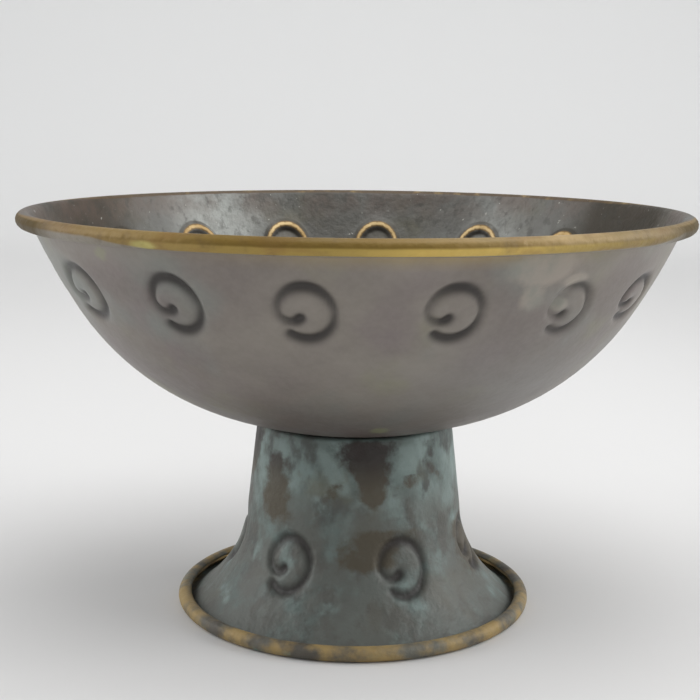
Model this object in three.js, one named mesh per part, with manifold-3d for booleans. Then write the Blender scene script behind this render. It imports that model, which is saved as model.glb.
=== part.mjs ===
// Pedestal bowl in raised and chased sheet brass: millimetres, +Z up, standing on z = 0 with its axis on Z.
// Every sheet is drawn as the path of its outer face, seen in section, and gets its thickness on the inside.
import * as THREE from 'three';
import { mergeVertices } from 'three/addons/utils/BufferGeometryUtils.js';
import Module from 'manifold-3d';

const wasm = await Module();
wasm.setup();

// Driving dimensions
const sheet = 0.9;
const clearance = 0.3;
const bowlFacets = 48;
const stemFacets = 32;
const wireSides = 6;

// Bowl: three tangent arcs of its outer face, from the middle of the floor up to the lip
const floorRadius = 148;
const floorSweep = 20.2;
const bellyRadius = 87.5;
const bellySweep = 37;
const wallRadius = 190;
const wallSweep = 10.7;

// Rim: the sheet's edge is curled outwards round a wire
const rimWireRadius = 1.4;
const rimCurl = 300;

// Pedestal: a seat flange under the bowl, a straight taper, and a flare to the foot
const pedestalHeight = 66.5;
const neckRadius = 34.2;
const flangeReach = 6;
const shoulderRadius = 1.5;
const neckTaper = 6.5;
const flareRadius = 46;
const flareSweep = 49;

// Foot: the sheet's edge is lapped flat underneath and curled up round a wire
const footWireRadius = 1.3;
const footFlatWidth = 1.8;
const footCurl = 240;

// Both wires are rings whose two ends meet with a narrow gap
const wireEndGap = 0.6;

// Solder fillet in the corner between the flange's edge and the bowl
const solderLeg = 4;
const solderToe = 0.2;
const solderThroat = 0.3;

// Chased comma spirals: an open ring whose far end curls in, and the round punch that its stroke is cut with
const ringRadius = 9;
const ringSweep = 290;
const ringStart = -125;
const ringWidth = 0.9;
const curlRadius = 4.2;
const curlSweep = 150;
const strokeRadius = 1.9;
const strokeLift = 1.05;
const strokeSteps = 12;
const strokeSides = 6;

// Where the spirals lie: round the bowl's wall and round the foot, spaced by eye
const bowlSpirals = [
  -55.6, -30.9, -8.2, 15.6, 37.9, 59, 81.7, 104.4, 127.2, 149.9, 174.9, 196.7, 219.2, 240.5, 261.8, 283.1,
];
const bowlSpiralsBelowLip = 22.6;
const footSpirals = [-90, -33, 24, 80, 141, 207];
const footSpiralsHeight = 23;

const degrees = THREE.MathUtils.degToRad;
const weldDistance = 1e-4;

// Sheet path: walks along straights and bends, and notes where it is and which way it heads
function walk(start, heading, moves) {
  const path = [{ at: start, heading: degrees(heading), distance: 0 }];
  for (const { radius = 0, turn = 0, length = 0, steps = 1 } of moves) {
    const bend = degrees(turn) / steps;
    const chord = turn === 0 ? length / steps : 2 * radius * Math.sin(Math.abs(bend) / 2);
    for (let i = 0; i < steps; i += 1) {
      const last = path[path.length - 1];
      const along = last.heading + bend / 2;
      const at = new THREE.Vector2(Math.cos(along), Math.sin(along)).multiplyScalar(chord).add(last.at);
      path.push({ at, heading: last.heading + bend, distance: last.distance + chord });
    }
  }
  return path;
}

// Point beside a path, to the left of its heading
function beside({ at, heading }, offset) {
  return new THREE.Vector2(-Math.sin(heading), Math.cos(heading)).multiplyScalar(offset).add(at);
}

// Place on a path at a distance from its start
function placeOn(path, distance) {
  const next = Math.max(1, path.findIndex((place) => place.distance >= distance));
  const [before, after] = [path[next - 1], path[next]];
  const share = (distance - before.distance) / (after.distance - before.distance);
  return {
    at: before.at.clone().lerp(after.at, share),
    heading: THREE.MathUtils.lerp(before.heading, after.heading, share),
  };
}

// Distance along a falling path at which it reaches a height
function distanceAt(path, height) {
  const next = path.findIndex((place) => place.at.y <= height);
  const [before, after] = [path[next - 1], path[next]];
  const share = (before.at.y - height) / (before.at.y - after.at.y);
  return THREE.MathUtils.lerp(before.distance, after.distance, share);
}

// Section between two offsets from a path
function sheetSection(path, near, far) {
  return [...path.map((place) => beside(place, near)), ...path.map((place) => beside(place, far)).reverse()];
}

// Closed three.js geometry as a solid
function toSolid(geometry) {
  geometry.deleteAttribute('normal');
  geometry.deleteAttribute('uv');
  const merged = mergeVertices(geometry, weldDistance);
  return new wasm.Manifold(new wasm.Mesh({
    numProp: 3,
    vertProperties: new Float32Array(merged.attributes.position.array),
    triVerts: new Uint32Array(merged.index.array),
  }));
}

// Solid as a named three.js mesh
function toMesh(solid, name, material) {
  const { vertProperties, triVerts } = solid.getMesh();
  const geometry = new THREE.BufferGeometry();
  geometry.setAttribute('position', new THREE.BufferAttribute(vertProperties, 3));
  geometry.setIndex(new THREE.BufferAttribute(triVerts, 1));
  geometry.computeVertexNormals();
  const mesh = new THREE.Mesh(geometry, material);
  mesh.name = name;
  return mesh;
}

// Section turned about the axis: it closes on itself, or starts and ends on the axis
function revolve(section, facets) {
  const startsOnAxis = Math.abs(section[0].x) < weldDistance;
  const profile = startsOnAxis ? [...section] : [...section, section[0]];
  if (THREE.ShapeUtils.area(section) < 0) {
    profile.reverse();
  }
  return toSolid(new THREE.LatheGeometry(profile, facets).rotateX(Math.PI / 2));
}

// Comma spiral, drawn across and up the wall about its own middle
const ringTail = new THREE.Vector2(ringRadius, 0).rotateAround(new THREE.Vector2(), degrees(ringStart));
const spiral = walk(ringTail, ringStart + 90, [
  { radius: ringRadius, turn: ringSweep, steps: 12 },
  { radius: curlRadius, turn: curlSweep, steps: 6 },
]);

// Stroke of one spiral as a tube that follows the outer face, its centre lifted off the sheet
function strokeTube(wall, turn, tubeRadius) {
  const points = spiral.map(({ at: { x, y: up } }) => {
    const place = placeOn(wall.path, wall.middle + wall.upwards * up);
    const centre = beside(place, wall.outwards * strokeLift);
    const angle = turn + ringWidth * x / centre.x;
    return new THREE.Vector3(centre.x * Math.sin(angle), -centre.x * Math.cos(angle), centre.y);
  });
  const round = new THREE.Shape().absarc(0, 0, tubeRadius, 0, 2 * Math.PI);
  return toSolid(new THREE.ExtrudeGeometry(round, {
    curveSegments: strokeSides / 2,
    steps: strokeSteps,
    extrudePath: new THREE.CatmullRomCurve3(points),
  }));
}

// Ring of spirals chased into a sheet: a groove outside, and inside the ridge that the punch drives up
function chase(shell, wall, turns, facets) {
  const inner = -wall.outwards;
  const inside = revolve(sheetSection(wall.path, inner * sheet / 2, inner * (sheet + strokeRadius)), facets);
  let chased = shell;
  for (const turn of turns.map(degrees)) {
    const ridge = strokeTube(wall, turn, strokeRadius + sheet).intersect(inside);
    chased = chased.add(ridge).subtract(strokeTube(wall, turn, strokeRadius));
  }
  return chased;
}

// Ring of wire about a centre on the section
function wireRing(centre, wireRadius, facets) {
  const round = new THREE.Path().absarc(centre.x, centre.y, wireRadius, 0, 2 * Math.PI);
  const reach = 4 * wireRadius;
  const gap = new THREE.BoxGeometry(reach, wireEndGap, reach).translate(-centre.x, 0, centre.y);
  return revolve(round.getPoints(wireSides / 2).slice(1), facets).subtract(toSolid(gap));
}

// Bowl, drawn with the middle of its underside at the origin
const bowlWall = walk(new THREE.Vector2(0, 0), 0, [
  { radius: floorRadius, turn: floorSweep, steps: 3 },
  { radius: bellyRadius, turn: bellySweep, steps: 5 },
  { radius: wallRadius, turn: wallSweep, steps: 2 },
]);
const lip = bowlWall[bowlWall.length - 1];
const rimHollow = rimWireRadius + clearance;
const rimEdge = walk(lip.at, THREE.MathUtils.radToDeg(lip.heading), [
  { radius: rimHollow, turn: -rimCurl, steps: 8 },
]);
const rimCentre = beside(lip, -rimHollow);
const bowlShell = chase(
  revolve(sheetSection([...bowlWall, ...rimEdge.slice(1)], 0, sheet), bowlFacets),
  { path: bowlWall, middle: lip.distance - bowlSpiralsBelowLip, upwards: 1, outwards: -1 },
  bowlSpirals,
  bowlFacets,
);

// Point that lies a gap under the bowl's floor, at a radius from the axis
function underFloor(radius, gap = clearance) {
  const reach = floorRadius + gap;
  return new THREE.Vector2(radius, floorRadius - Math.sqrt(reach ** 2 - radius ** 2));
}

// Pedestal, drawn from the inner edge of its seat flange, out under the bowl and down to the foot
const seatReach = floorRadius + clearance;
const flangeInner = neckRadius - flangeReach;
const flangeOuter = neckRadius - shoulderRadius;
const flangeSlope = THREE.MathUtils.radToDeg(Math.asin(flangeInner / seatReach));
const shoulderSlope = THREE.MathUtils.radToDeg(Math.asin(flangeOuter / seatReach));
const seat = walk(underFloor(flangeInner), flangeSlope, [
  { radius: seatReach, turn: shoulderSlope - flangeSlope, steps: 2 },
  { radius: shoulderRadius, turn: neckTaper - 90 - shoulderSlope, steps: 3 },
]);
const shoulder = seat[seat.length - 1];
const bowlHeight = pedestalHeight - underFloor(flangeOuter).y;
const footHollow = footWireRadius + clearance;
const footSlope = 90 - neckTaper - flareSweep;
const flareDrop = flareRadius * (Math.cos(degrees(footSlope)) - Math.sin(degrees(neckTaper)));
const footDrop = footHollow * (1 - Math.cos(degrees(footSlope))) + sheet;
const neckDrop = bowlHeight + shoulder.at.y - flareDrop - footDrop;
const stemWall = walk(shoulder.at, neckTaper - 90, [
  { length: neckDrop / Math.cos(degrees(neckTaper)), steps: 1 },
  { radius: flareRadius, turn: flareSweep, steps: 5 },
]);
const stemEnd = stemWall[stemWall.length - 1];
const footEdge = walk(stemEnd.at, -footSlope, [
  { radius: footHollow, turn: footSlope, steps: 2 },
  { length: footFlatWidth },
  { radius: footHollow, turn: footCurl, steps: 6 },
]);
const footCentre = beside(footEdge[3], footHollow);
const pedestal = chase(
  revolve(sheetSection([...seat, ...stemWall.slice(1), ...footEdge.slice(1)], 0, -sheet), stemFacets),
  { path: stemWall, middle: distanceAt(stemWall, footSpiralsHeight - bowlHeight), upwards: -1, outwards: 1 },
  footSpirals,
  stemFacets,
);

// Solder fillet: follows the bowl's underside, then runs down the flange's edge
const solderOuter = flangeInner - clearance;
const solderInner = solderOuter - solderLeg;
const solderMiddle = (solderOuter + solderInner) / 2;
const solderRing = revolve([
  underFloor(solderInner, clearance + solderToe),
  underFloor(solderMiddle, clearance + solderThroat),
  underFloor(solderOuter, clearance + sheet),
  underFloor(solderOuter),
  underFloor(solderInner),
], stemFacets);

// Finishes, and the pieces put together on the bowl's height above the foot
const patina = new THREE.MeshStandardMaterial({ color: 0x6e6861, roughness: 0.6, metalness: 0.6 });
const verdigris = new THREE.MeshStandardMaterial({ color: 0x68766f, roughness: 0.75, metalness: 0.4 });
const rimBrass = new THREE.MeshStandardMaterial({ color: 0xa8894f, roughness: 0.4, metalness: 0.9 });
const footBrass = new THREE.MeshStandardMaterial({ color: 0x9a7c46, roughness: 0.45, metalness: 0.9 });
const softSolder = new THREE.MeshStandardMaterial({ color: 0x8b8c88, roughness: 0.5, metalness: 0.8 });

const pedestalBowl = new THREE.Group();
pedestalBowl.position.z = bowlHeight;
pedestalBowl.add(toMesh(bowlShell, 'bowl_shell', patina));
pedestalBowl.add(toMesh(wireRing(rimCentre, rimWireRadius, bowlFacets), 'rim_wire', rimBrass));
pedestalBowl.add(toMesh(pedestal, 'pedestal', verdigris));
pedestalBowl.add(toMesh(wireRing(footCentre, footWireRadius, stemFacets), 'foot_wire', footBrass));
pedestalBowl.add(toMesh(solderRing, 'joint_solder', softSolder));

export default pedestalBowl;
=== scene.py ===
import math

import bmesh
import bpy
from mathutils import Matrix, Vector


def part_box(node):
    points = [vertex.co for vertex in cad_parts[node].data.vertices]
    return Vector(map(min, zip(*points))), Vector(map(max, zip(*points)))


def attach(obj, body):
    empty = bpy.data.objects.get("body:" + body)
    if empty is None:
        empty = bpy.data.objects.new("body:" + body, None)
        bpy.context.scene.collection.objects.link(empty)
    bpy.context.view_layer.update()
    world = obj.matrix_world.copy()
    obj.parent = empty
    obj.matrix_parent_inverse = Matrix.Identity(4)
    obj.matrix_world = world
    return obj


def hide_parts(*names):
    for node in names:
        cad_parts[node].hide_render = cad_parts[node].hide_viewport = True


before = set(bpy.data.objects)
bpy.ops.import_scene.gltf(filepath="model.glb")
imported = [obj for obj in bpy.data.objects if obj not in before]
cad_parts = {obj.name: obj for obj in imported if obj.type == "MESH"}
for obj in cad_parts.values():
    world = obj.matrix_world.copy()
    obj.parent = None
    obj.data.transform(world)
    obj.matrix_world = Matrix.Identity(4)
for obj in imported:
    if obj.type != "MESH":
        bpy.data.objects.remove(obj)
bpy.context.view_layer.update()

# Bowl. One disc of brass, raised into a deep round bowl and chased from outside with comma spirals.
# Each stroke stands out inside as a ridge rubbed down to the brass, and the edge is rolled outwards
# over a wire.
MM = 0.001
SHEET = 0.9 * MM
FLOOR_RADIUS = 148 * MM
FLOOR_SWEEP = 20.2
BELLY_RADIUS = 87.5 * MM
BELLY_SWEEP = 37
WALL_RADIUS = 190 * MM
CHASED_WALL_SWEEP = 7.5
PLAIN_WALL_SWEEP = 3.19
RIM_HOLLOW = 1.7 * MM
RIM_CURL = 300
BOWL_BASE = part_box("bowl_shell")[0][2]
WELD = 0.002 * MM

# A spiral is a ring that is left open at the lower left and ends in a tighter curl towards its heart
RING_RADIUS = 9 * MM
RING_START = -125
RING_SWEEP = 290
CURL_RADIUS = 4.2 * MM
CURL_SWEEP = 150
STROKE_DEPTH = 1.4 * MM
STROKE_WIDTH = 1.65 * MM
STROKE_REACH = 13 * MM
BLUNT_REACH = 2.5 * MM
HEART_REACH = 5.5 * MM
WORN_PLACE = Vector((-7.5, 0, 4)) * MM
WORN_REACH = 6 * MM
# How far aside of a stroke, in strokes, a place counts that has none near it
FAR_ASIDE = 9

# A stroke is heavier at the ring's top and bottom and at its blunt end, and darker where it is heavier.
# Wear makes it paler, most of all at its upper left.
# The darkness is dark patina in the groove, with painted shade where the groove runs level at the ring's top
# and bottom.
PLAIN_WEIGHT = 0.85
RING_WEIGHT = 0.35
BLUNT_WEIGHT = 0.2
DARK_START = -0.32
DARK_BY_WEIGHT = 1.1
DARK_BY_BLUNT = 0.3
FADED_ALL_OVER = 0.35
# Inside, a band of painted shadow lies under the ring's upper arc: its distance from the stroke and half
# width, in strokes
SHADOW_GAP = 1.15
SHADOW_WIDTH = 0.6

# Spirals round the wall: angle, width and height as shares of the ring, how much lower each sits in mm,
# and how worn it is
FRONT_SPIRALS = [
    (-55.6, 1.08, 0.99, 0.0, 0.25), (-30.9, 0.90, 1.03, -0.3, 0.0), (-8.2, 0.91, 1.01, 0.0, 0.12),
    (15.6, 0.90, 0.99, 0.1, 0.2), (37.9, 0.84, 0.91, 1.1, 0.8), (59.0, 1.00, 0.82, 1.1, 0.0),
]
BACK_SPIRALS = [81.7, 104.4, 127.2, 149.9, 174.9, 196.7, 219.2, 240.5, 261.8, 283.1]
PLAIN_SPIRAL = (0.9, 1.0, 0.0, 0.2)
BOWL_SPIRALS = FRONT_SPIRALS + [(turn, *PLAIN_SPIRAL) for turn in BACK_SPIRALS]
BOWL_SPIRALS_DROP = 22.6 * MM
BOWL_SPIRAL_SECTOR = 7


def share_between(value, low, high):
    """How far a value has come from low to high, kept from 0 to 1."""
    return min(1, max(0, (value - low) / (high - low)))


def hump(value, middle, half):
    """A round hump: 1 at its middle, and about a third at a half width to either side."""
    return math.exp(-((value - middle) / half) ** 2)


def walk(start, heading, moves):
    """Places in section, each with its heading and distance, for moves of a radius, a turn and steps."""
    places = [(Vector(start), math.radians(heading), 0.0)]
    for radius, turn, steps in moves:
        bend = math.radians(turn) / steps
        for _ in range(steps):
            at, facing, gone = places[-1]
            chord = radius / steps if turn == 0 else 2 * radius * math.sin(abs(bend) / 2)
            along = facing + bend / 2
            step = chord * Vector((math.cos(along), 0, math.sin(along)))
            places.append((at + step, facing + bend, gone + chord))
    return places


def angle_from(vert, turn):
    """Angle round the axis from a turn to a vertex, in degrees either way."""
    return (math.degrees(math.atan2(vert.co.x, -vert.co.y)) - turn + 180) % 360 - 180


def turned_sheet(mesh, section, turns, sector, fine, coarse):
    """Spins a section round the axis, in fine steps where a spiral is chased and coarse ones between them."""
    along = mesh.verts.layers.float.new("along")
    verts = []
    for place, _, gone in section:
        verts.append(mesh.verts.new(place))
        verts[-1][along] = gone
    line = verts + [mesh.edges.new(pair) for pair in zip(verts, verts[1:])]
    start = Matrix.Rotation(math.radians(turns[0] - sector - 90), 3, "Z")
    bmesh.ops.rotate(mesh, verts=verts, cent=(0, 0, 0), matrix=start)
    for turn, following in zip(turns, turns[1:] + [turns[0] + 360]):
        for sweep, steps in ((2 * sector, fine), (following - turn - 2 * sector, coarse)):
            spun = bmesh.ops.spin(mesh, geom=line, axis=(0, 0, 1), angle=math.radians(sweep), steps=steps)
            line = spun["geom_last"]
    bmesh.ops.remove_doubles(mesh, verts=mesh.verts[:], dist=WELD)
    bmesh.ops.recalc_face_normals(mesh, faces=mesh.faces[:])


def chase(mesh, spirals, middle, upwards):
    """Pushes the sheet inwards along each spiral's stroke, and marks how each point lies to the stroke."""
    tail = math.radians(RING_START)
    start = RING_RADIUS * Vector((math.cos(tail), 0, math.sin(tail)))
    stroke = walk(start, RING_START + 90, [(RING_RADIUS, RING_SWEEP, 60), (CURL_RADIUS, CURL_SWEEP, 20)])
    blunt_end = stroke[-1][0]
    along = mesh.verts.layers.float["along"]
    deep_mark = mesh.verts.layers.float.new("stroke")
    groove_dark_and_shade_mark = mesh.verts.layers.float.new("dark")
    ridge_shadow_mark = mesh.verts.layers.float.new("under")
    side_mark = mesh.verts.layers.float.new("side")
    heart_mark = mesh.verts.layers.float.new("heart")
    mesh.normal_update()
    pushes = []
    for vert in mesh.verts:
        vert[side_mark] = FAR_ASIDE
        turn, wide, tall, sunk, faded = min(spirals, key=lambda spiral: abs(angle_from(vert, spiral[0])))
        across = math.radians(angle_from(vert, turn)) * math.hypot(vert.co.x, vert.co.y) / wide
        up = (upwards * (vert[along] - middle) + sunk * MM) / tall
        if abs(up) < STROKE_REACH and abs(across) < STROKE_REACH:
            here = Vector((across, 0, up))
            nearest, facing, _ = min(stroke, key=lambda step: (here - step[0]).length)
            off = here - nearest
            blunt = hump((nearest - blunt_end).length, 0, BLUNT_REACH)
            weight = PLAIN_WEIGHT + RING_WEIGHT * abs(nearest.z) / RING_RADIUS + BLUNT_WEIGHT * blunt
            gap = off.length / (STROKE_WIDTH * weight)
            faded *= FADED_ALL_OVER + hump((nearest - WORN_PLACE).length, 0, WORN_REACH)
            vert[side_mark] = math.copysign(gap, off.z * math.cos(facing) - off.x * math.sin(facing))
            vert[deep_mark] = hump(gap, 0, 1)
            # Dark patina in the groove, and painted shade on the ring's level top and bottom arcs
            vert[groove_dark_and_shade_mark] = vert[deep_mark] * (
                DARK_START + DARK_BY_WEIGHT * weight + DARK_BY_BLUNT * blunt - faded
            )
            vert[heart_mark] = hump(here.length, 0, HEART_REACH)
            # A band of painted shadow under the ridge's upper arc, where the raised ridge would shade the
            # wall
            if here.length < nearest.length and nearest.z > 0:
                vert[ridge_shadow_mark] = hump(gap * weight, SHADOW_GAP, SHADOW_WIDTH) * nearest.z / RING_RADIUS
            pushes.append((vert, vert.normal * vert[deep_mark] * STROKE_DEPTH))
    for vert, push in pushes:
        vert.co -= push


def mark_wear_and_light(mesh, wear_and_light):
    """Marks each vertex with the shares that a function gives for it, each under its own name."""
    some_vert = next(iter(mesh.verts))
    layers = {name: mesh.verts.layers.float.new(name) for name in wear_and_light(some_vert)}
    for vert in mesh.verts:
        for name, share in wear_and_light(vert).items():
            vert[layers[name]] = share


def piece_from(mesh, name, body="root"):
    """Turns a finished bmesh into a smooth-shaded object that rides on a body."""
    data = bpy.data.meshes.new(name)
    mesh.to_mesh(data)
    mesh.free()
    data.shade_smooth()
    made = bpy.data.objects.new(name, data)
    bpy.context.collection.objects.link(made)
    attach(made, body)
    return made


def thicken(piece):
    """Gives a turned sheet its thickness inwards, with the piece's second finish on its inner side."""
    sheet = piece.modifiers.new("sheet", "SOLIDIFY")
    sheet.thickness = SHEET
    sheet.offset = -1
    sheet.material_offset = 1


floor_and_belly = [(FLOOR_RADIUS, FLOOR_SWEEP, 8), (BELLY_RADIUS, BELLY_SWEEP, 14)]
upper_wall = [(WALL_RADIUS, CHASED_WALL_SWEEP, 34), (WALL_RADIUS, PLAIN_WALL_SWEEP, 5)]
bowl_wall = walk((0, 0, BOWL_BASE), 0, floor_and_belly + upper_wall)
lip, lip_facing, lip_along = bowl_wall[-1]
rim_edge = walk(lip, math.degrees(lip_facing), [(RIM_HOLLOW, -RIM_CURL, 14)])
bowl_section = bowl_wall + [(place, facing, lip_along + gone) for place, facing, gone in rim_edge[1:]]

bowl_mesh = bmesh.new()
bowl_turns = [turn for turn, *_ in BOWL_SPIRALS]
turned_sheet(bowl_mesh, bowl_section, bowl_turns, BOWL_SPIRAL_SECTOR, fine=30, coarse=4)
# The bowl's outside faces down, so the faces are turned over where most of them look up
if sum(face.normal.z * face.calc_area() for face in bowl_mesh.faces) > 0:
    bmesh.ops.reverse_faces(bowl_mesh, faces=bowl_mesh.faces[:])
chase(bowl_mesh, BOWL_SPIRALS, lip_along - BOWL_SPIRALS_DROP, upwards=1)

# Wear and painted light and shade are placed by angles round the bowl in degrees, to the right of the front,
# or by mm below the lip.
# Stains inside, round the wall: angle, half width and strength, which is of dust above 0 and of dark below.
# They come in between two distances below the lip.
INSIDE_STAINS = [
    (215, 13, 1.0), (147, 9, 0.5), (252, 19, -1.0), (186, 9, -0.25), (110, 12.5, -2.0), (20, 25, 0.6),
    (330, 25, -0.6),
]
STAINS_FADE = (75, 30)
# Blots outside, and a patch of painted light, by the name of their mark: angle, half width, distance below
# the lip and half height
OUTSIDE_BLOTS = {
    "scuff": [(29.5, 8.5, 8.5, 8), (28.5, 3.5, 18, 6), (36, 4, 13, 3.5), (35, 2.2, 21.5, 3)],
    "spot": [(7.7, 3.2, 84.6, 4.6), (-43.5, 1.5, 6.5, 2.5)],
    "rubbed": [(10, 26, 4.4, 1.9)],
    # The last is painted light: the lower right of the wall made lighter and cooler, as if lit from the pale
    # floor
    "floor_light": [(36, 26, 58, 24)],
}
# The wall is paler below the lip, though less so in front, with patches of an angle, half width and strength
EDGE_HEIGHT = 9
EDGE_LEAST = 0.5
EDGE_EVENS_OUT = 45
EDGE_PATCHES = [(5, 8, 0.4), (-26, 9, -0.6)]
# The wall darkens downwards between two heights in mm, most so round an angle in front, with its half width:
# painted shade under the bowl near the stem, with a dark stain there
SHADE_HEIGHTS = (90, 70)
SHADE_ALL_ROUND = 0.35
SHADE_IN_FRONT = 0.55
SHADE_FRONT = (-4, 38)

# Brass shows on the rim's bead up to a tilt of its surface, where 90 degrees is up and 0 is outwards, and
# higher up ahead and behind. The left side is a few degrees more tarnished than the right.
TILT_MOST = 220
BARE_TILT = 58
BARE_HIGHER_AHEAD = 70
BARE_HIGHER_BEHIND = 84
BARE_FADE = 30
LEFT_TARNISH = 8
# Along the bead, by an angle and its half width: a painted highlight, umber wear, and a painted glint with
# its tilt
GLEAM = (15, 12)
UMBER = (-12, 20)
GLINT = (-31, 2.8)
GLINT_TILT = (-30, 38)
# Wear along the bead, from the angle where it starts to the one where it is full
GREY_LEFT = (-30, -42)
GREY_RIGHT = (50, 60)
TIPS_MIDDLE = 1.5
TIPS_FROM = (52, 60)
TIPS_UNTIL = (112, 100)
# The same by how far ahead of the axis, behind it or to its left a place is, as a share of its radius
BARE_AHEAD = (0.17, 0.67)
GREY_AHEAD = (0, 0.25)
TARNISH_BEHIND = (0, 0.5)
DULL_LEFT = (0.12, 0.42)

along = bowl_mesh.verts.layers.float["along"]
lip_tilt = math.degrees(lip_facing) + 90


def bowl_wear_and_light(vert):
    """How worn, stained or rubbed the bowl is at a vertex, and where light or shade is painted on it, by the
    name of each mark.
    """
    turned = angle_from(vert, 0)
    ahead = math.cos(math.radians(turned))
    leftwards = -math.sin(math.radians(turned))
    behind = share_between(-ahead, *TARNISH_BEHIND)
    tilt = lip_tilt - math.degrees((vert[along] - lip_along) / RIM_HOLLOW)
    capped = min(TILT_MOST, tilt)
    below = (lip_along - vert[along]) / MM

    facing = math.cos(math.radians(abs(turned) + (LEFT_TARNISH if turned < 0 else 0)))
    bare = BARE_TILT + BARE_HIGHER_AHEAD * share_between(facing, *BARE_AHEAD) + BARE_HIGHER_BEHIND * behind
    greyed = max(share_between(turned, *GREY_LEFT), share_between(turned, *GREY_RIGHT))
    stain = sum(strength * hump(angle_from(vert, turn), 0, wide) for turn, wide, strength in INSIDE_STAINS)
    paleness = EDGE_LEAST + (1 - EDGE_LEAST) * min(1, abs(turned) / EDGE_EVENS_OUT)
    paleness += sum(strength * hump(turned, turn, wide) for turn, wide, strength in EDGE_PATCHES)
    shade = SHADE_ALL_ROUND + SHADE_IN_FRONT * hump(turned, *SHADE_FRONT)
    wear_and_light = {
        "tilt": capped / 180,
        "patina": (capped - bare) / BARE_FADE,
        "dull": share_between(leftwards, *DULL_LEFT),
        "tarnish": behind,
        "grey": greyed * share_between(ahead, *GREY_AHEAD),
        "tip": share_between(abs(turned - TIPS_MIDDLE), *TIPS_FROM) * share_between(abs(turned), *TIPS_UNTIL),
        "edge": hump(below, 0, EDGE_HEIGHT) * paleness,
        "gleam": hump(turned, *GLEAM),
        "umber": hump(turned, *UMBER),
        "glint": hump(turned, *GLINT) * hump(tilt, *GLINT_TILT),
        "dust": stain * share_between(below, *STAINS_FADE),
        "shade": shade * share_between(vert.co.z / MM, *SHADE_HEIGHTS),
    }
    for name, blots in OUTSIDE_BLOTS.items():
        wear_and_light[name] = max(
            hump(angle_from(vert, turn), 0, wide) * hump(below, middle, tall)
            for turn, wide, middle, tall in blots
        )
    return wear_and_light


mark_wear_and_light(bowl_mesh, bowl_wear_and_light)
bowl = piece_from(bowl_mesh, "bowl")
thicken(bowl)


def add(tree, kind, inputs=None, **settings):
    """A shader node with its settings and the values of its sockets."""
    made = tree.nodes.new("ShaderNode" + kind)
    for name, value in settings.items():
        setattr(made, name, value)
    for socket, value in (inputs or {}).items():
        if isinstance(value, bpy.types.NodeSocket):
            tree.links.new(value, made.inputs[socket])
        else:
            made.inputs[socket].default_value = value
    return made


def new_finish(name, metallic, roughness):
    """An empty finish: its node tree, its shader and the object coordinates that its patterns read."""
    made = bpy.data.materials.new(name)
    made.use_nodes = True
    shader = made.node_tree.nodes["Principled BSDF"]
    shader.inputs["Metallic"].default_value = metallic
    shader.inputs["Roughness"].default_value = roughness
    where = add(made.node_tree, "TexCoord").outputs["Object"]
    return made, made.node_tree, shader, where


def spread(tree, value, low, high):
    """A value spread from 0 at low to 1 at high."""
    inputs = {"Value": value, "From Min": low, "From Max": high}
    return add(tree, "MapRange", inputs, interpolation_type="SMOOTHSTEP").outputs["Result"]


def clouds(tree, where, scale, detail=4, low=0.35, high=0.65, rough=0.55, stretch=(1, 1, 1)):
    """Noise at a scale, spread from 0 at low to 1 at high."""
    mapped = add(tree, "Mapping", {"Vector": where, "Scale": stretch}).outputs["Vector"]
    made = add(tree, "TexNoise", {"Vector": mapped, "Scale": scale, "Detail": detail, "Roughness": rough})
    return spread(tree, made.outputs["Fac"], low, high)


def mixed(tree, share, first, second):
    """One colour over another, by a share from 0 to 1."""
    made = add(tree, "Mix", data_type="RGBA")
    for socket, value in ((0, share), (6, first), (7, second)):
        if isinstance(value, bpy.types.NodeSocket):
            tree.links.new(value, made.inputs[socket])
        else:
            made.inputs[socket].default_value = value if socket == 0 else (*value, 1)
    return made.outputs[2]


def maths(tree, operation, *values, clamp=True):
    """A sum or another step on numbers, kept from 0 to 1 unless told otherwise."""
    made = add(tree, "Math", operation=operation, use_clamp=clamp)
    for i, value in enumerate(values):
        if isinstance(value, bpy.types.NodeSocket):
            tree.links.new(value, made.inputs[i])
        else:
            made.inputs[i].default_value = value
    return made.outputs[0]


def times(tree, first, second):
    """One share of another."""
    return maths(tree, "MULTIPLY", first, second)


def mark(tree, name):
    """How strongly the mesh is marked with an attribute."""
    return add(tree, "Attribute", attribute_name=name).outputs["Fac"]


def place_along(tree, where, axis):
    """Where a point lies along one axis, in metres."""
    return add(tree, "SeparateXYZ", {"Vector": where}).outputs[axis]


def broken(tree, value, where, scale, depth):
    """A value made uneven by noise, so that its edges break up."""
    noise = add(tree, "TexNoise", {"Vector": where, "Scale": scale, "Detail": 5, "Roughness": 0.6})
    shift = maths(tree, "MULTIPLY_ADD", noise.outputs["Fac"], 2 * depth, -depth, clamp=False)
    return maths(tree, "ADD", value, shift, clamp=False)


def lay_on(tree, shader, colour, height, depth):
    """Gives a shader its colour, and the small unevenness of its surface as a bump."""
    bump = add(tree, "Bump", {"Strength": 1.0, "Distance": depth, "Height": height})
    tree.links.new(colour, shader.inputs["Base Color"])
    tree.links.new(bump.outputs["Normal"], shader.inputs["Normal"])


# Colours of the brass on the rim's bead, with a painted highlight, a painted glint and a painted dark
# reflection line
BRASS = {
    "bright": (0.60, 0.42, 0.104), "yellow": (0.33, 0.235, 0.064), "line": (0.215, 0.133, 0.018),
    "brown": (0.285, 0.182, 0.052), "tan": (0.44, 0.312, 0.148), "dull": (0.31, 0.222, 0.092),
    "rusty": (0.26, 0.142, 0.055), "umber": (0.145, 0.091, 0.020), "glint": (0.50, 0.44, 0.16),
    "left": (0.150, 0.092, 0.036), "right": (0.115, 0.085, 0.032), "deep": (0.175, 0.110, 0.035),
    "grey": (0.255, 0.230, 0.190), "tip": (0.088, 0.068, 0.036), "dark": (0.105, 0.072, 0.042),
}
# Clouds on the bead are drawn out along the rim
ALONG_RIM = (1, 1, 3)


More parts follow.
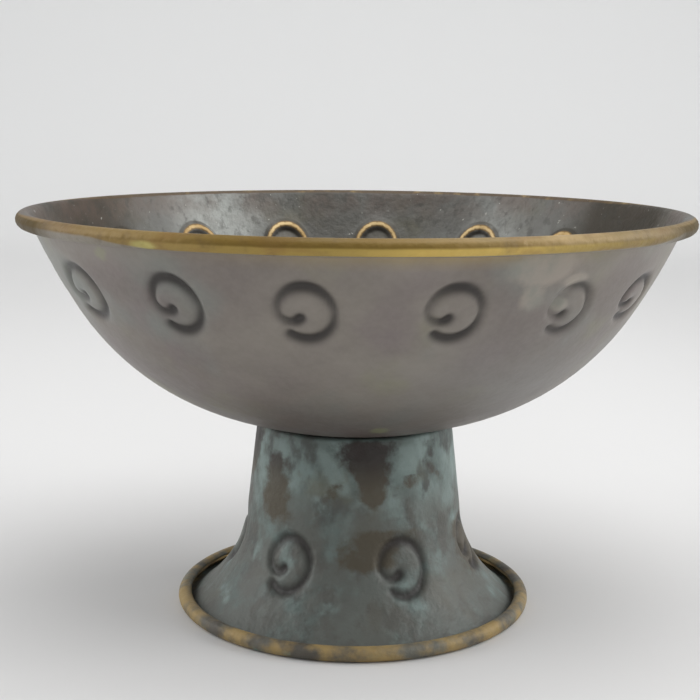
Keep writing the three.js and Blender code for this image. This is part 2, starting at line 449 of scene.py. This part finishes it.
def bead_bands(tree, where, tilt, across):
    """Bands round the bead by its tilt: brown to tan on top, then a painted dark reflection line, then yellow
    below, with a painted highlight in front.
    """
    top = mixed(tree, spread(tree, across, 5 * MM, 60 * MM), BRASS["brown"], BRASS["tan"])
    worn = mixed(tree, clouds(tree, where, 45, 4, 0.4, 0.62, stretch=ALONG_RIM), top, BRASS["dull"])
    strength = maths(tree, "MULTIPLY_ADD", spread(tree, across, 15 * MM, 60 * MM), -0.4, 0.9)
    # A dark line where the bead mirrors dark surroundings: a painted dark reflection
    dark_reflection_lined = mixed(tree, times(tree, spread(tree, tilt, 0.30, 0.15), strength), worn, BRASS["line"])
    # Brighter yellow in front: a painted highlight over patchy brass
    patches_and_highlight = maths(tree, "MULTIPLY_ADD", clouds(tree, where, 36, 3, 0.32, 0.60), 0.3, mark(tree, "gleam"))
    yellow = mixed(tree, patches_and_highlight, BRASS["yellow"], BRASS["bright"])
    return mixed(tree, spread(tree, tilt, 0.060, -0.050), dark_reflection_lined, yellow)


def bead_stains_and_glint(tree, where, tilt, across, bands):
    """Over the bands: rusty clouds and umber stains, a painted glint in front, and darker and greyer at both
    sides.
    """
    dull = times(tree, mark(tree, "dull"), clouds(tree, where, 14, 3, 0.2, 0.5))
    dulled = mixed(tree, times(tree, dull, 0.75), bands, BRASS["dull"])
    rusty = times(tree, clouds(tree, where, 38, 4, 0.48, 0.62, stretch=ALONG_RIM), 0.5)
    rusted = mixed(tree, rusty, dulled, BRASS["rusty"])
    upper = times(tree, mark(tree, "umber"), spread(tree, tilt, -0.05, 0.05))
    umbered = mixed(tree, times(tree, upper, 0.66), rusted, BRASS["umber"])
    # A painted glint of light on the bead at the front left
    glinted = mixed(tree, spread(tree, mark(tree, "glint"), 0.25, 0.80), umbered, BRASS["glint"])
    far_left = times(tree, spread(tree, across, -70 * MM, -92 * MM), 0.5)
    low_left = times(tree, spread(tree, tilt, 0.13, 0.03), spread(tree, across, -48 * MM, -75 * MM))
    left = maths(tree, "MAXIMUM", far_left, times(tree, low_left, 0.35))
    browned = mixed(tree, left, glinted, BRASS["left"])
    right = times(tree, spread(tree, across, 55 * MM, 100 * MM), 0.6)
    darkened = mixed(tree, right, browned, BRASS["right"])
    deepened = mixed(tree, times(tree, mark(tree, "grey"), 0.45), darkened, BRASS["deep"])
    grey_tilt = maths(tree, "MULTIPLY_ADD", mark(tree, "grey"), -0.33, tilt, clamp=False)
    return mixed(tree, spread(tree, grey_tilt, -0.27, -0.37), deepened, BRASS["grey"])


def bead_colour(tree, where, under):
    """Brass on the rim's bead, banded, stained and tarnished, with painted highlights and a painted dark
    reflection, where the colour under it is rubbed off.
    """
    tilt = broken(tree, mark(tree, "tilt"), where, 70, 0.035)
    across = place_along(tree, where, "X")
    stained = bead_stains_and_glint(tree, where, tilt, across, bead_bands(tree, where, tilt, across))
    outer = times(tree, mark(tree, "tip"), spread(tree, tilt, 0.34, 0.22))
    tipped = mixed(tree, times(tree, outer, 0.82), stained, BRASS["tip"])
    spots = times(tree, clouds(tree, where, 110, 4, 0.50, 0.72), 0.4)
    far = times(tree, mark(tree, "tarnish"), clouds(tree, where, 150, 4, 0.25, 0.50))
    tarnished = mixed(tree, maths(tree, "MAXIMUM", spots, far), tipped, BRASS["dark"])
    patina = broken(tree, mark(tree, "patina"), where, 120, 0.7)
    return mixed(tree, spread(tree, patina, -0.25, 0.25), tarnished, under)


# Colours of the patina outside, with painted shade low on the wall and painted light at its lower right
GROOVE_DARK = (0.024, 0.020, 0.018)
PATINA = {
    "warm": (0.172, 0.146, 0.133), "light": (0.248, 0.224, 0.192), "olive": (0.240, 0.232, 0.150),
    "green": (0.195, 0.208, 0.190), "purple": (0.190, 0.158, 0.152), "floor_light": (0.248, 0.240, 0.228),
    "shade": (0.086, 0.064, 0.059), "spot": (0.245, 0.255, 0.135), "edge": (0.335, 0.305, 0.265),
    "rubbed": (0.370, 0.275, 0.120), "dapple": (0.150, 0.130, 0.112), "grain": (0.34, 0.32, 0.29),
    "scuff": (0.375, 0.330, 0.278), "green_scuff": (0.270, 0.272, 0.232),
}


def bowl_outside():
    """Grey-brown patina in warm, olive and purple clouds, darker low down, with painted shade and light,
    grooves and scuffs.
    """
    made, tree, shader, where = new_finish("bowl_outside", 0.25, 0.42)
    warm = mixed(tree, clouds(tree, where, 16, 4), PATINA["warm"], PATINA["light"])
    olive = mixed(tree, clouds(tree, where, 30, 3, 0.54, 0.75), warm, PATINA["olive"])
    greenish = mixed(tree, clouds(tree, where, 21, 3, 0.50, 0.70), olive, PATINA["green"])
    purple = mixed(tree, clouds(tree, where, 26, 3, 0.50, 0.72), greenish, PATINA["purple"])
    # Painted light from the floor: the lower right of the wall lighter and cooler
    floor_lit = mixed(tree, times(tree, mark(tree, "floor_light"), 0.8), purple, PATINA["floor_light"])
    # Painted shade low on the wall towards the stem, together with a dark stain there
    shaded = mixed(tree, mark(tree, "shade"), floor_lit, PATINA["shade"])
    spots = spread(tree, broken(tree, mark(tree, "spot"), where, 160, 0.3), 0.2, 0.7)
    spotted = mixed(tree, times(tree, spots, 0.8), shaded, PATINA["spot"])
    edge = times(tree, mark(tree, "edge"), clouds(tree, where, 24, 4, 0.25, 0.60))
    paler = mixed(tree, times(tree, edge, 0.75), spotted, PATINA["edge"])
    rubbed = mixed(tree, times(tree, mark(tree, "rubbed"), 0.75), paler, PATINA["rubbed"])
    dapples = times(tree, clouds(tree, where, 62, 4, 0.38, 0.66), 0.26)
    dappled = mixed(tree, dapples, rubbed, PATINA["dapple"])
    grain = times(tree, clouds(tree, where, 500, 3, 0.3, 0.7), 0.1)
    grained = mixed(tree, grain, dappled, PATINA["grain"])
    # Dark patina in the grooves, with painted shade on the rings' level top and bottom arcs
    grooves = times(tree, spread(tree, mark(tree, "dark"), -0.05, 0.92), 0.95)
    chased = mixed(tree, grooves, grained, GROOVE_DARK)
    scuffs = spread(tree, broken(tree, mark(tree, "scuff"), where, 60, 0.55), 0.36, 0.74)
    scraping = mixed(tree, clouds(tree, where, 85, 4, 0.40, 0.62), PATINA["scuff"], PATINA["green_scuff"])
    scraped = mixed(tree, times(tree, scuffs, 0.64), chased, scraping)
    uneven = clouds(tree, where, 90, 6, 0.2, 0.8)
    lay_on(tree, shader, bead_colour(tree, where, scraped), uneven, 0.16 * MM)
    return made


# Colours inside the bowl, and of the ridges there, with the painted shadow under a ridge's upper arc
INSIDE = {
    "grey": (0.130, 0.128, 0.116), "light": (0.185, 0.190, 0.175), "olive": (0.125, 0.118, 0.088),
    "dark": (0.050, 0.043, 0.032), "dust": (0.370, 0.384, 0.360), "red": (0.120, 0.086, 0.068),
    "crack": (0.060, 0.057, 0.049), "speck": (0.42, 0.41, 0.37),
}
RIDGE = {
    "heart": (0.225, 0.185, 0.130), "flank": (0.050, 0.042, 0.030), "painted_shadow": (0.017, 0.012, 0.006),
    "shoulder": (0.22, 0.135, 0.045), "brown": (0.46, 0.29, 0.10), "rubbed": (0.80, 0.59, 0.29),
}


def ridge_colour(tree, where, around):
    """A stroke's ridge: a tan heart, dark flanks, painted shadow under its upper arc, brown shoulders and a
    crest rubbed to the brass.
    """
    hearted = times(tree, mark(tree, "heart"), clouds(tree, where, 40, 3, 0.25, 0.60))
    heart = mixed(tree, times(tree, hearted, 0.6), around, RIDGE["heart"])
    near = spread(tree, mark(tree, "stroke"), 0.02, 0.35)
    haloed = times(tree, near, clouds(tree, where, 90, 4, 0.2, 0.55))
    flank = mixed(tree, times(tree, haloed, 0.75), heart, RIDGE["flank"])
    # Painted shadow under the ridge's upper arc
    painted_shadow = mixed(tree, mark(tree, "under"), flank, RIDGE["painted_shadow"])
    aside = maths(tree, "ABSOLUTE", mark(tree, "side"), clamp=False)
    raised = spread(tree, mark(tree, "stroke"), 0.35, 0.65)
    on_shoulder = times(tree, spread(tree, aside, 0.55, 0.32), raised)
    shoulder = mixed(tree, on_shoulder, painted_shadow, RIDGE["shoulder"])
    gilded = mixed(tree, clouds(tree, where, 55, 4, 0.35, 0.62), RIDGE["brown"], RIDGE["rubbed"])
    on_crest = times(tree, spread(tree, aside, 0.34, 0.14), raised)
    return mixed(tree, on_crest, shoulder, gilded)


def bowl_inside():
    """Dull grey, dusty or dark in patches and reddish under the lip, with fine cracks and specks."""
    made, tree, shader, where = new_finish("bowl_inside", 0.15, 0.5)
    stained = broken(tree, mark(tree, "dust"), where, 30, 0.55)
    mottled = times(tree, clouds(tree, where, 140, 6, 0.42, 0.68), 0.45)
    greyed = mixed(tree, mottled, INSIDE["grey"], INSIDE["light"])
    olive = mixed(tree, clouds(tree, where, 36, 5, 0.5, 0.7), greyed, INSIDE["olive"])
    darkening = spread(tree, stained, 0.2, -1.1)
    darker = mixed(tree, times(tree, darkening, 0.9), olive, INSIDE["dark"])
    uneven_dust = maths(tree, "MULTIPLY_ADD", clouds(tree, where, 170, 6, 0.25, 0.65, 0.7), 0.6, 0.4)
    dusty = times(tree, spread(tree, stained, 0.1, 1.0), uneven_dust)
    dusted = mixed(tree, dusty, darker, INSIDE["dust"])
    lipward = times(tree, mark(tree, "edge"), clouds(tree, where, 60, 4, 0.35, 0.60))
    dark_right = times(tree, spread(tree, place_along(tree, where, "X"), 0, 40 * MM), darkening)
    reddish = times(tree, lipward, maths(tree, "MULTIPLY_ADD", dark_right, -0.8, 1.0))
    reddened = mixed(tree, times(tree, reddish, 0.7), dusted, INSIDE["red"])
    cracks = times(tree, clouds(tree, where, 330, 6, 0.52, 0.68, stretch=(1, 1, 0.6)), 0.5)
    crackled = mixed(tree, cracks, reddened, INSIDE["crack"])
    speckled = mixed(tree, clouds(tree, where, 560, 2, 0.70, 0.78), crackled, INSIDE["speck"])
    colour = bead_colour(tree, where, ridge_colour(tree, where, speckled))
    # The bead is matt at its tips and over the umber, and the dark patches shine less than the rest
    tips = times(tree, mark(tree, "tip"), spread(tree, mark(tree, "tilt"), 0.40, 0.24))
    umber = times(tree, mark(tree, "umber"), spread(tree, mark(tree, "tilt"), 0.90, 0.65))
    matt = maths(tree, "MULTIPLY_ADD", umber, 0.7, tips)
    sheen = maths(tree, "MULTIPLY_ADD", darkening, -0.35, 0.5)
    tree.links.new(maths(tree, "MULTIPLY_ADD", matt, -0.44, sheen), shader.inputs["Specular IOR Level"])
    tree.links.new(maths(tree, "MULTIPLY_ADD", tips, -0.15, 0.15), shader.inputs["Metallic"])
    fine = clouds(tree, where, 300, 6, 0.2, 0.8)
    hammered = maths(tree, "MULTIPLY_ADD", clouds(tree, where, 60, 2, 0.2, 0.8), 1.6, fine, clamp=False)
    lay_on(tree, shader, colour, hammered, 0.25 * MM)
    return made


bowl.data.materials.append(bowl_outside())
bowl.data.materials.append(bowl_inside())
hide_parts("bowl_shell")

# Pedestal. A hollow stem of sheet brass that tapers and flares to the foot, held under the bowl by a
# soldered flange. It is thick with grey-green corrosion and chased with a ring of the same spirals,
# and its foot edge is rolled over a wire.
CLEARANCE = 0.3 * MM
NECK_RADIUS = 34.2 * MM
FLANGE_REACH = 6 * MM
SHOULDER_RADIUS = 1.5 * MM
NECK_TAPER = 6.5
FLARE_RADIUS = 46 * MM
FLARE_SWEEP = 49
FOOT_HOLLOW = 1.6 * MM
FOOT_FLAT = 1.8 * MM
FOOT_CURL = 240
STEM_SPIRALS = [-90, -33, 24, 80, 141, 207]
STEM_SPIRALS_HEIGHT = 23 * MM
STEM_SPIRAL_SECTOR = 17

seat_reach = FLOOR_RADIUS + CLEARANCE
flange_radius = NECK_RADIUS - FLANGE_REACH
flange_slope = math.degrees(math.asin(flange_radius / seat_reach))
shoulder_slope = math.degrees(math.asin((NECK_RADIUS - SHOULDER_RADIUS) / seat_reach))
flange_drop = math.sqrt(seat_reach ** 2 - flange_radius ** 2)
flange_edge = Vector((flange_radius, 0, BOWL_BASE + FLOOR_RADIUS - flange_drop))
foot_slope = 90 - NECK_TAPER - FLARE_SWEEP
shoulder_turn = NECK_TAPER - 90 - shoulder_slope
seat = [(seat_reach, shoulder_slope - flange_slope, 4), (SHOULDER_RADIUS, shoulder_turn, 8)]
shoulder = walk(flange_edge, flange_slope, seat)[-1][0]
flare_drop = FLARE_RADIUS * (math.cos(math.radians(foot_slope)) - math.sin(math.radians(NECK_TAPER)))
foot_drop = FOOT_HOLLOW * (1 - math.cos(math.radians(foot_slope))) + SHEET
neck_length = (shoulder.z - flare_drop - foot_drop) / math.cos(math.radians(NECK_TAPER))
stem = [(neck_length, 0, 24), (FLARE_RADIUS, FLARE_SWEEP, 46)]
foot = [(FOOT_HOLLOW, foot_slope, 5), (FOOT_FLAT, 0, 1), (FOOT_HOLLOW, FOOT_CURL, 14)]
stem_section = walk(flange_edge, flange_slope, seat + stem + foot)
seat_steps = sum(steps for *_, steps in seat)
foot_steps = sum(steps for *_, steps in foot)
stem_places = stem_section[seat_steps:-foot_steps]
spirals_along = min(stem_places, key=lambda step: abs(step[0].z - STEM_SPIRALS_HEIGHT))[2]

stem_mesh = bmesh.new()
turned_sheet(stem_mesh, stem_section, STEM_SPIRALS, STEM_SPIRAL_SECTOR, fine=44, coarse=8)
# The faces are turned over where most of them look towards the axis
outwards = sum(face.normal.dot(Vector((*face.calc_center_median().xy, 0))) for face in stem_mesh.faces)
if outwards < 0:
    bmesh.ops.reverse_faces(stem_mesh, faces=stem_mesh.faces[:])
chase(stem_mesh, [(turn, *PLAIN_SPIRAL) for turn in STEM_SPIRALS], spirals_along, upwards=-1)

# Brown streaks where the green has run off: strength, then top and lower end, each its height in mm,
# angle and half width in degrees
BROWN_STREAKS = [
    (1.1, (65.8, 7, 20), (53, 9.5, 12)), (1.1, (61, 8.5, 15), (43, 9.8, 5.5)),
    (0.9, (59.5, -48, 12), (34, -46, 14)), (0.6, (64.5, 47, 7), (57, 48, 7)),
    (0.62, (58, 42, 5), (48, 57, 6)), (0.58, (54, 31, 8), (48, 30, 9)),
    (0.52, (52, -8, 5), (43, -16, 8)), (1, (68, 100, 12), (48, 96, 20)),
    (1, (61, 133, 8), (36, 126, 16)), (1, (70, 165, 22), (46, 172, 8)),
    (1, (56, 197, 8), (34, 186, 14)), (1, (68, 214, 17), (50, 220, 7)),
    (1, (52, 250, 8), (30, 243, 16)), (1, (66, 283, 15), (46, 280, 9)),
    (0.8, (36, 14, 26), (22, 6, 20)), (1, (34, 75, 16), (12, 80, 20)),
    (1, (30, 150, 15), (8, 140, 22)),
]
# Paler green where it lies thick, written the same way
PALE_STREAKS = [
    (0.9, (64, 30, 9), (54, 31, 9)), (1.0, (63, -19, 5), (47, -4, 6)), (0.8, (64, -46, 11), (54, -44, 9)),
    (0.8, (58, 62, 9), (38, 62, 10)), (0.7, (47, 21, 6), (39, 24, 7)), (0.8, (60, 80, 8), (40, 84, 10)),
    (0.8, (60, 118, 10), (44, 112, 8)), (0.8, (62, 184, 8), (40, 190, 12)),
    (0.8, (64, 234, 10), (42, 228, 8)), (0.7, (58, 300, 8), (36, 296, 10)),
]
STREAK_TOP_END = (1.12, 0.92)
STREAK_LOWER_END = (-0.12, 0.18)
# The foot's rolled edge is rubbed to the brass beyond this distance from the axis
RUBBED_FOOT = (57 * MM, 59 * MM)


def streaked(vert, streaks):
    """How strongly streaks mark a vertex: the most of any of them."""
    most = 0.0
    for strength, (top, top_turn, top_wide), (low, low_turn, low_wide) in streaks:
        share = (vert.co.z / MM - low) / (top - low)
        off = angle_from(vert, low_turn + (top_turn - low_turn) * share)
        wide = low_wide + (top_wide - low_wide) * min(1, max(0, share))
        ends = share_between(share, *STREAK_LOWER_END) * share_between(share, *STREAK_TOP_END)
        most = max(most, strength * ends * hump(off, 0, wide))
    return most


def stem_wear(vert):
    """How streaked the stem is at a vertex, and how rubbed its foot."""
    return {
        "brown": streaked(vert, BROWN_STREAKS),
        "pale": streaked(vert, PALE_STREAKS),
        "rub": share_between(math.hypot(vert.co.x, vert.co.y), *RUBBED_FOOT),
    }


mark_wear_and_light(stem_mesh, stem_wear)
pedestal = piece_from(stem_mesh, "pedestal_stem")
thicken(pedestal)

# Colours of the corrosion outside the stem and of the dull brass inside it
VERDIGRIS = {
    "deep": (0.108, 0.139, 0.128), "teal": (0.181, 0.238, 0.223), "pale": (0.230, 0.300, 0.282),
    "smudge": (0.078, 0.088, 0.080), "olive": (0.135, 0.138, 0.100), "grey": (0.110, 0.108, 0.094),
    "thick": (0.225, 0.290, 0.272), "brown": (0.082, 0.068, 0.044), "black": (0.024, 0.015, 0.012),
    "brass": (0.32, 0.225, 0.09),
}
STEM_LINING = {
    "dull": (0.085, 0.075, 0.060), "light": (0.15, 0.15, 0.125), "green": (0.13, 0.19, 0.165),
    "crest": (0.26, 0.19, 0.09), "brass": (0.34, 0.24, 0.095),
}
# The stain is near black under the bowl, and the green is greyer down the stem
BLACK_HEIGHTS = (47 * MM, 61 * MM)
GREY_HEIGHTS = (54 * MM, 38 * MM)


def stem_outside():
    """Grey-green corrosion, paler where it is thick, with brown streaks, and rubbed off the foot's edge."""
    made, tree, shader, where = new_finish("verdigris", 0.1, 0.55)
    height = place_along(tree, where, "Z")
    broad = clouds(tree, where, 60, 5, stretch=(1, 1, 0.8))
    teal = mixed(tree, broad, VERDIGRIS["deep"], VERDIGRIS["teal"])
    pale = mixed(tree, clouds(tree, where, 95, 4, 0.48, 0.68, stretch=(1, 1, 0.7)), teal, VERDIGRIS["pale"])
    smudges = clouds(tree, where, 120, 5, 0.48, 0.66, stretch=(1, 1, 0.7))
    smudged = mixed(tree, smudges, pale, VERDIGRIS["smudge"])
    olive = mixed(tree, clouds(tree, where, 40, 4, 0.54, 0.72), smudged, VERDIGRIS["olive"])
    low = times(tree, spread(tree, height, *GREY_HEIGHTS), clouds(tree, where, 75, 4, 0.28, 0.52))
    greyer = mixed(tree, times(tree, low, 0.75), olive, VERDIGRIS["grey"])
    thick = broken(tree, broken(tree, mark(tree, "pale"), where, 80, 0.5), where, 260, 0.4)
    paled = mixed(tree, times(tree, spread(tree, thick, 0.2, 0.9), 0.7), greyer, VERDIGRIS["thick"])
    stain = mixed(tree, spread(tree, height, *BLACK_HEIGHTS), VERDIGRIS["brown"], VERDIGRIS["black"])
    ragged = broken(tree, broken(tree, mark(tree, "brown"), where, 80, 0.45), where, 280, 0.4)
    browned = mixed(tree, times(tree, spread(tree, ragged, 0.32, 0.75), 0.93), paled, stain)
    # Dark patina in the grooves, with painted shade on the rings' level top and bottom arcs
    grooves = times(tree, spread(tree, mark(tree, "dark"), -0.10, 0.92), 0.92)
    chased = mixed(tree, grooves, browned, GROOVE_DARK)
    worn = times(tree, mark(tree, "rub"), clouds(tree, where, 70, 5, 0.42, 0.62))
    footed = mixed(tree, worn, chased, VERDIGRIS["brass"])
    lay_on(tree, shader, footed, clouds(tree, where, 240, 6, 0.2, 0.8), 0.3 * MM)
    return made


def stem_inside():
    """Dull brown brass with green spots, lighter on the ridges and rubbed at the foot's edge."""
    made, tree, shader, where = new_finish("stem_inside", 0.1, 0.6)
    dull = mixed(tree, clouds(tree, where, 40, 6), STEM_LINING["dull"], STEM_LINING["light"])
    spotted = mixed(tree, clouds(tree, where, 120, 5, 0.58, 0.7), dull, STEM_LINING["green"])
    crested = mixed(tree, spread(tree, mark(tree, "stroke"), 0.7, 0.9), spotted, STEM_LINING["crest"])
    worn = times(tree, mark(tree, "rub"), clouds(tree, where, 70, 5, 0.40, 0.60))
    footed = mixed(tree, worn, crested, STEM_LINING["brass"])
    lay_on(tree, shader, footed, clouds(tree, where, 260, 5), 0.2 * MM)
    return made


pedestal.data.materials.append(stem_outside())
pedestal.data.materials.append(stem_inside())
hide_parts("pedestal")

# Wires. Drawn brass wire lies in the rim and in the foot, and shows only along the slit of the roll.
# Each is one ring whose two ends meet with a narrow gap.
WIRE_BROWN = (0.17, 0.115, 0.05)
WIRE_BRASS = (0.34, 0.235, 0.10)


def paint(node, finish):
    """Gives one of the frame's own nodes its finish."""
    node.data.materials.clear()
    node.data.materials.append(finish)


wire_brass, tree, shader, where = new_finish("wire_brass", 0.8, 0.42)
drawn = mixed(tree, clouds(tree, where, 90, 4), WIRE_BROWN, WIRE_BRASS)
lay_on(tree, shader, drawn, clouds(tree, where, 500, 3), 0.05 * MM)
for name in ("rim_wire", "foot_wire"):
    paint(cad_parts[name], wire_brass)

# Solder. A fillet of soft solder was run round the flange's edge, inside the stem and under the bowl.
# It has dulled to a dark lead grey.
SOLDER_DARK = (0.14, 0.14, 0.135)
SOLDER_GREY = (0.30, 0.30, 0.29)
solder_grey, tree, shader, where = new_finish("solder_grey", 0.6, 0.5)
lumpy = mixed(tree, clouds(tree, where, 110, 5), SOLDER_DARK, SOLDER_GREY)
lay_on(tree, shader, lumpy, clouds(tree, where, 260, 3), 0.3 * MM)
paint(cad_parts["joint_solder"], solder_grey)

# Floor and backdrop. One pale sheet lies under the bowl and sweeps up behind it.
# It is not part of the bowl and takes its shadow.
FLOOR_HALF_WIDTH = 5.0
FLOOR_FRONT = 4.0
SWEEP_START = 1.2
SWEEP_RADIUS = 0.8
BACKDROP_HEIGHT = 4.0
# Paper colours near the bowl, far from it and at the sides, darker near the bowl and at the sides as painted
# shade
PAPER_NEAR_SHADED = (0.70, 0.695, 0.69)
PAPER_FAR = (0.87, 0.87, 0.865)
PAPER_DIM = (0.25, 0.25, 0.25)


def pulled(mesh, line, move):
    """Draws the sheet's last edge out by a move, and gives its new last edge."""
    edges = [e for e in line if isinstance(e, bmesh.types.BMEdge)]
    drawn_out = bmesh.ops.extrude_edge_only(mesh, edges=edges)
    last = [e for e in drawn_out["geom"] if not isinstance(e, bmesh.types.BMFace)]
    bmesh.ops.translate(mesh, verts=[e for e in last if isinstance(e, bmesh.types.BMVert)], vec=move)
    return last


floor_mesh = bmesh.new()
corners = [floor_mesh.verts.new((x, -FLOOR_FRONT, 0)) for x in (-FLOOR_HALF_WIDTH, FLOOR_HALF_WIDTH)]
level = pulled(floor_mesh, corners + [floor_mesh.edges.new(corners)], (0, FLOOR_FRONT + SWEEP_START, 0))
centre = (0, SWEEP_START, SWEEP_RADIUS)
swept = bmesh.ops.spin(floor_mesh, geom=level, cent=centre, axis=(1, 0, 0), angle=math.pi / 2, steps=24)
pulled(floor_mesh, swept["geom_last"], (0, 0, BACKDROP_HEIGHT))
bmesh.ops.remove_doubles(floor_mesh, verts=floor_mesh.verts[:], dist=0.1 * MM)
bmesh.ops.recalc_face_normals(floor_mesh, faces=floor_mesh.faces[:])
floor_data = bpy.data.meshes.new("floor")
floor_mesh.to_mesh(floor_data)
floor_mesh.free()
floor_data.shade_smooth()
floor = bpy.data.objects.new("floor", floor_data)
bpy.context.collection.objects.link(floor)

floor_paint, tree, shader, where = new_finish("floor_paint", 0, 0.9)
aside = place_along(tree, where, "X")
distance = place_along(tree, where, "Y")
# The paper is painted darker near the bowl, where the lamps light it most, and towards the sides: painted
# shade that evens out and shapes the backdrop's tone
shade_graded_paper = mixed(tree, spread(tree, distance, 0.6, 1.9), PAPER_NEAR_SHADED, PAPER_FAR)
left_side = times(tree, spread(tree, aside, -0.12, -0.34), 0.4)
sides = maths(tree, "ADD", spread(tree, aside, 0.12, 0.34), left_side)
dimmed = times(tree, sides, times(tree, spread(tree, distance, 1.4, 1.0), 0.14))
tree.links.new(mixed(tree, dimmed, shade_graded_paper, PAPER_DIM), shader.inputs["Base Color"])
floor_data.materials.append(floor_paint)

# Light. A pale world, darker on the camera's side, and three large soft lamps to the sides and above.
# The darker side keeps the bowl's front as deep in tone as the photograph has it.
SKY_COLOUR = (0.93, 0.94, 0.95, 1)
SKY_IN_FRONT = 0.42
SKY_BEHIND = 0.85
LAMPS_AIM = Vector((0, 0, 0.1))
# Lamps: name, place, width and power in watts
LAMPS = (
    ("lamp_left", (-1.4, 0.1, 0.8), 1.0, 9),
    ("lamp_right", (1.4, 0.0, 0.8), 1.0, 12.5),
    ("lamp_top", (0.2, -0.2, 1.6), 1.2, 9),
)
world = bpy.data.worlds.new("studio")
world.use_nodes = True
sky = world.node_tree.nodes["Background"]
sky.inputs["Color"].default_value = SKY_COLOUR
backwards = place_along(world.node_tree, add(world.node_tree, "TexCoord").outputs["Generated"], "Y")
brightness = add(world.node_tree, "MapRange", {"Value": backwards, "From Min": -0.9, "From Max": 0.1})
brightness.inputs["To Min"].default_value = SKY_IN_FRONT
brightness.inputs["To Max"].default_value = SKY_BEHIND
world.node_tree.links.new(brightness.outputs["Result"], sky.inputs["Strength"])
bpy.context.scene.world = world
for name, place, size, power in LAMPS:
    lamp_data = bpy.data.lights.new(name, "AREA")
    lamp_data.size = size
    lamp_data.energy = power
    lamp = bpy.data.objects.new(name, lamp_data)
    aim = LAMPS_AIM - Vector(place)
    lamp.matrix_world = Matrix.Translation(place) @ aim.to_track_quat("-Z", "Y").to_matrix().to_4x4()
    bpy.context.collection.objects.link(lamp)

# Camera. It stands where the photograph was taken from: a little above the rim, pitched down and
# rolled by half a degree.
CAMERA_PLACE = Vector((-1.87, -457.76, 172.17)) * MM
PITCH_DOWN = 10.12
ROLL = 0.55
FOCAL_PIXELS = 1316.93
FRAME_PIXELS = 700
SENSOR_WIDTH = 36
camera_data = bpy.data.cameras.new("camera")
camera_data.sensor_width = SENSOR_WIDTH
camera_data.lens = FOCAL_PIXELS / FRAME_PIXELS * SENSOR_WIDTH
camera_data.clip_start = 10 * MM
camera = bpy.data.objects.new("camera", camera_data)
camera.matrix_world = (
    Matrix.Translation(CAMERA_PLACE)
    @ Matrix.Rotation(math.radians(90 - PITCH_DOWN), 4, "X")
    @ Matrix.Rotation(math.radians(ROLL), 4, "Z")
)
bpy.context.collection.objects.link(camera)
bpy.context.scene.camera = camera
bpy.context.scene.view_settings.view_transform = "Standard"
